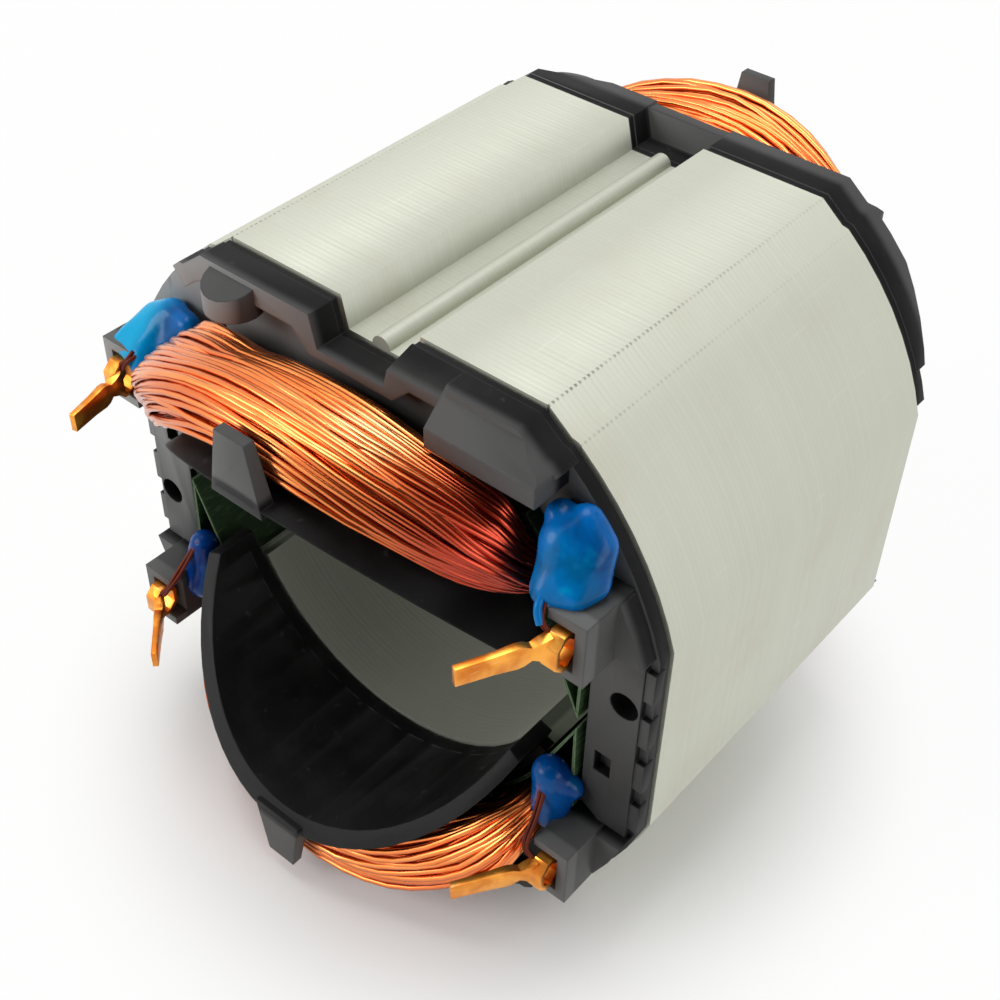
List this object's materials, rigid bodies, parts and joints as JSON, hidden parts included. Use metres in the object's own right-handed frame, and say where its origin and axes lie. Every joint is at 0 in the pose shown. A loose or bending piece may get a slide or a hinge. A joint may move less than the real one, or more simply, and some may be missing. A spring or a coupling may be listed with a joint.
{
  "type": "wound stator",
  "caption": "Laminated stator core with saddle-wound copper field coils, black moulded end frames, slot liners and folded terminals.",
  "frame": {"origin": "on the bore axis, half way along the lamination stack", "axes": "+Y along the bore axis, away from the terminals; +Z along the pole axis; +X to the right when seen from the terminals"},
  "size_m": [0.0564, 0.0666, 0.0532],
  "materials": {
    "electrical_steel": "satin sheet edges",
    "enamelled_copper": "enamelled wire",
    "black_moulding": "fine satin moulding",
    "slot_paper": "matt",
    "terminal_brass": "bare sheet",
    "blue_resin": "glossy cured resin"
  },
  "bodies": {
    "root": {"lamination_stack": "electrical_steel", "front_end_frame": "black_moulding", "rear_end_frame": "black_moulding", "upper_field_coil": "enamelled_copper", "lower_field_coil": "enamelled_copper", "slot_liner_upper_right": "slot_paper", "slot_liner_upper_left": "slot_paper", "slot_liner_lower_right": "slot_paper", "slot_liner_lower_left": "slot_paper", "terminal_upper_right": "terminal_brass", "terminal_upper_left": "terminal_brass", "terminal_lower_right": "terminal_brass", "terminal_lower_left": "terminal_brass", "resin_fillet_upper_right": "blue_resin", "resin_fillet_upper_left": "blue_resin", "resin_fillet_lower_right": "blue_resin", "resin_fillet_lower_left": "blue_resin", "lead_wire_upper_right": "enamelled_copper", "lead_wire_upper_left": "enamelled_copper", "lead_wire_lower_right": "enamelled_copper", "lead_wire_lower_left": "enamelled_copper"}
  },
  "joints": []
}
